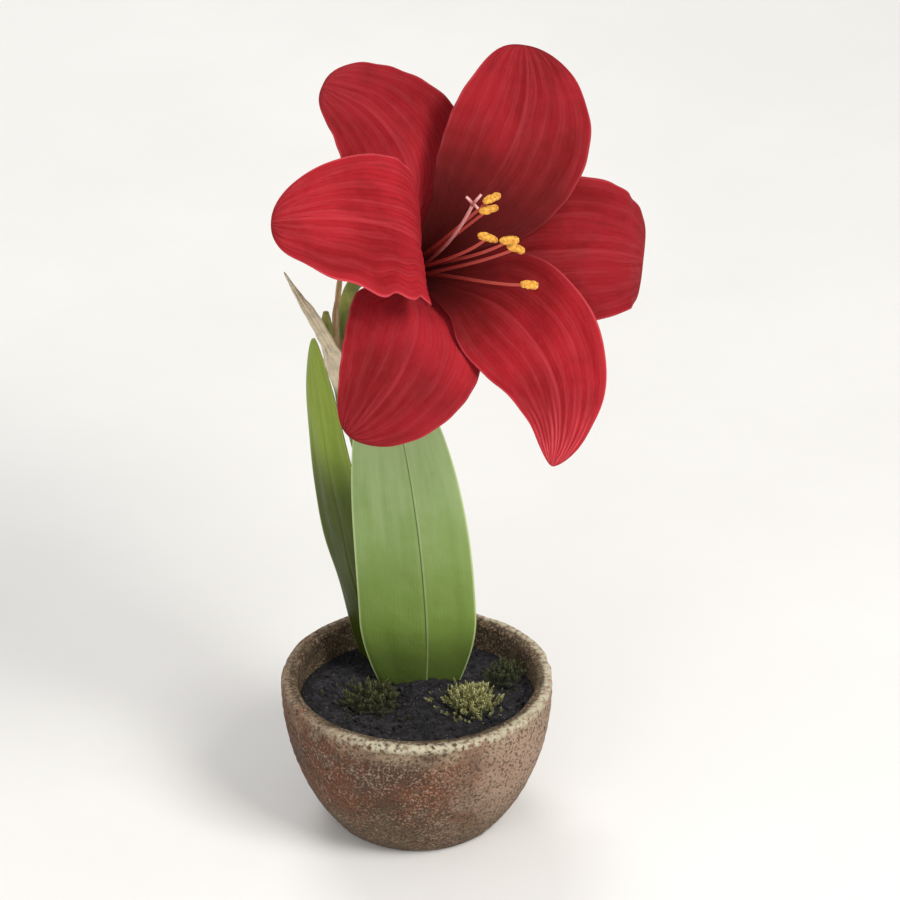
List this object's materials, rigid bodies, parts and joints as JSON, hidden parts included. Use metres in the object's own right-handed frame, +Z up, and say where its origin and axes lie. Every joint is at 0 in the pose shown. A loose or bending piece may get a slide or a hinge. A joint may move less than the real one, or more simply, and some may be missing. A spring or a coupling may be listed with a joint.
{
  "type": "amaryllis in a pot",
  "caption": "Potted amaryllis: a wide trumpet bloom on a scape, strap leaves and moss on dark soil in a squat aged clay pot that stands on its foot.",
  "frame": {"origin": "centre of the flat foot under the pot", "axes": "+Z up along the pot's axis, -Y towards the plant's front, +X to the right as seen from the front"},
  "size_m": [0.1326, 0.1285, 0.302],
  "materials": {
    "clay": "aged, grainy and matt, with lime and moss stains",
    "loam": "crumbly dark potting soil",
    "bulb_skin": "papery",
    "moss": "tufted",
    "scape_green": "waxy",
    "leaf_green": "waxy, with fine lengthwise veins",
    "dry_sheath": "dry and papery",
    "ovary_green": "waxy",
    "bud_green": "waxy",
    "cup_green": "waxy",
    "petal_red": "velvety, with fine lengthwise veins",
    "filament_red": "satin",
    "pollen": "dusty",
    "style_pink": "satin"
  },
  "bodies": {
    "root": {"pot": "clay", "soil": "loam", "bulb": "bulb_skin", "moss_right": "moss", "moss_left": "moss", "moss_back": "moss", "scape": "scape_green", "leaf_front": "leaf_green", "leaf_left": "leaf_green", "spathe_front": "dry_sheath", "spathe_back": "dry_sheath", "pedicel_and_ovary": "ovary_green", "bud": "bud_green", "bloom_cup": "cup_green", "tepal_right": "petal_red", "tepal_upper_left": "petal_red", "tepal_lower_left": "petal_red", "tepal_upper": "petal_red", "tepal_left": "petal_red", "tepal_lower_right": "petal_red", "style_and_stigma": "style_pink", "filament_1": "filament_red", "anther_1": "pollen", "filament_2": "filament_red", "anther_2": "pollen", "filament_3": "filament_red", "anther_3": "pollen", "filament_4": "filament_red", "anther_4": "pollen", "filament_5": "filament_red", "anther_5": "pollen", "filament_6": "filament_red", "anther_6": "pollen"}
  },
  "joints": []
}
